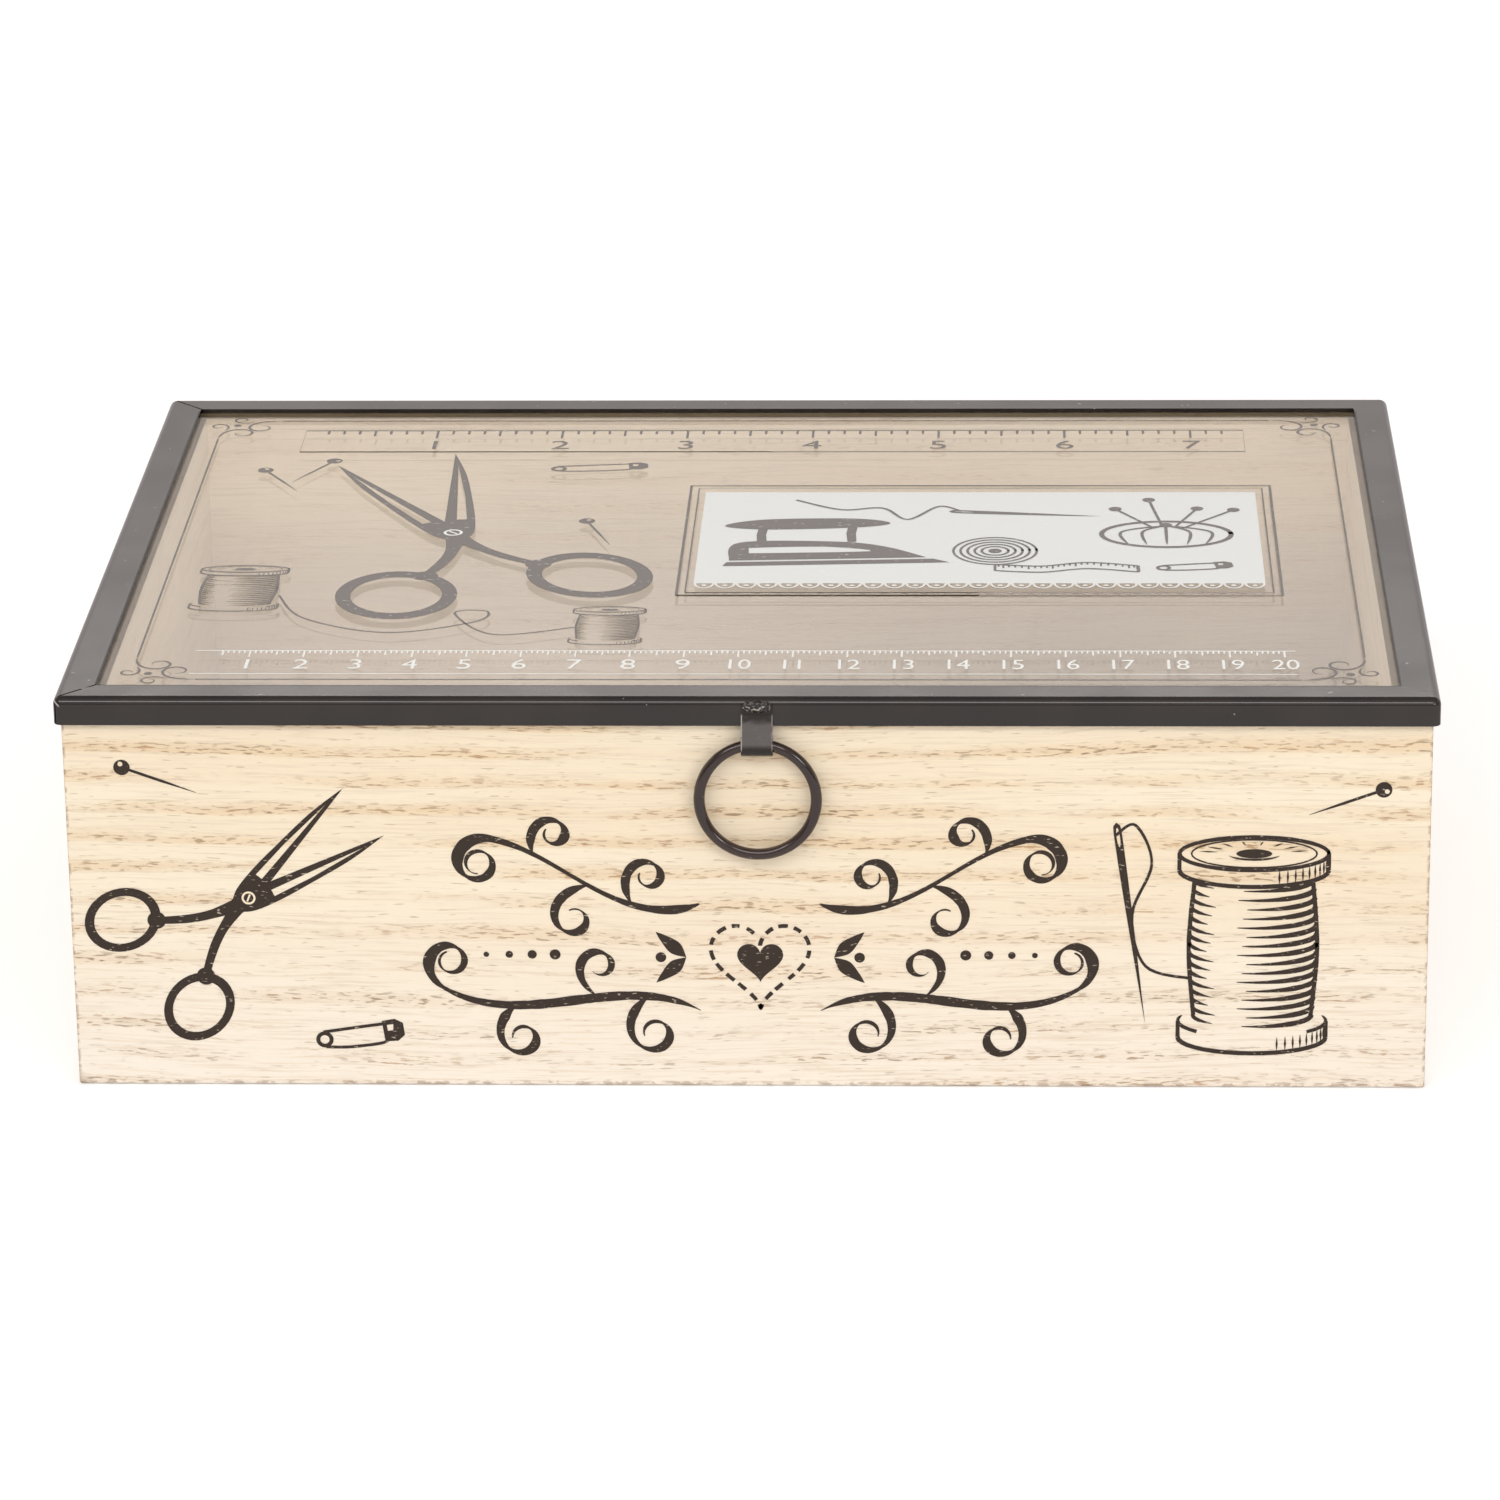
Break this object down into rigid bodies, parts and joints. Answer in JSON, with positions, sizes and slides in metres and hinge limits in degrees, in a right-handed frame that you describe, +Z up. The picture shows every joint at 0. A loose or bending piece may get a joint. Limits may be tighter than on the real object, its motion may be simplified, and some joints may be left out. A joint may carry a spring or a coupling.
{
  "type": "sewing box",
  "caption": "Shallow rectangular wooden box with a hinged glass lid in a mitred frame of thin metal angle, opened by a ring pull on a rolled strap.",
  "frame": {"origin": "middle of the base, on the surface that the box stands on", "axes": "+X along the width, +Y from the front (the ring pull) to the hinges, +Z up"},
  "size_m": [0.25, 0.1868, 0.0762],
  "materials": {
    "wood_wall": "pale, matt, fine sawn grain",
    "bottom_board": "pale plywood, matt",
    "frame_metal": "dark bronze-black, satin",
    "glass": "clear float glass",
    "ring_metal": "dark bronze-black, semi-gloss",
    "hinge_metal": "dark bronze, satin",
    "pin_metal": "darkened steel",
    "screw_metal": "darkened steel"
  },
  "bodies": {
    "box": {"front_panel": "wood_wall", "rear_panel": "wood_wall", "left_panel": "wood_wall", "right_panel": "wood_wall", "bottom_panel": "bottom_board", "left_hinge_box_leaf": "hinge_metal", "left_hinge_pin": "pin_metal", "left_hinge_screws": "screw_metal", "right_hinge_box_leaf": "hinge_metal", "right_hinge_pin": "pin_metal", "right_hinge_screws": "screw_metal"},
    "lid": {"lid_rail_front": "frame_metal", "lid_rail_rear": "frame_metal", "lid_rail_left": "frame_metal", "lid_rail_right": "frame_metal", "lid_glass": "glass", "pull_strap": "frame_metal", "left_hinge_lid_leaf": "hinge_metal", "right_hinge_lid_leaf": "hinge_metal"},
    "ring": {"pull_ring": "ring_metal"}
  },
  "joints": [
    {"name": "lid_hinge", "type": "hinge", "parent": "box", "child": "lid", "pos_m": [0, 0.0918, 0.071], "axis": [-1, 0, 0], "range_deg": [0, 105]},
    {"name": "ring_swing", "type": "hinge", "parent": "lid", "child": "ring", "pos_m": [0.0023, -0.09095, 0.0676], "axis": [-1, 0, 0], "range_deg": [-2.5, 170]}
  ]
}
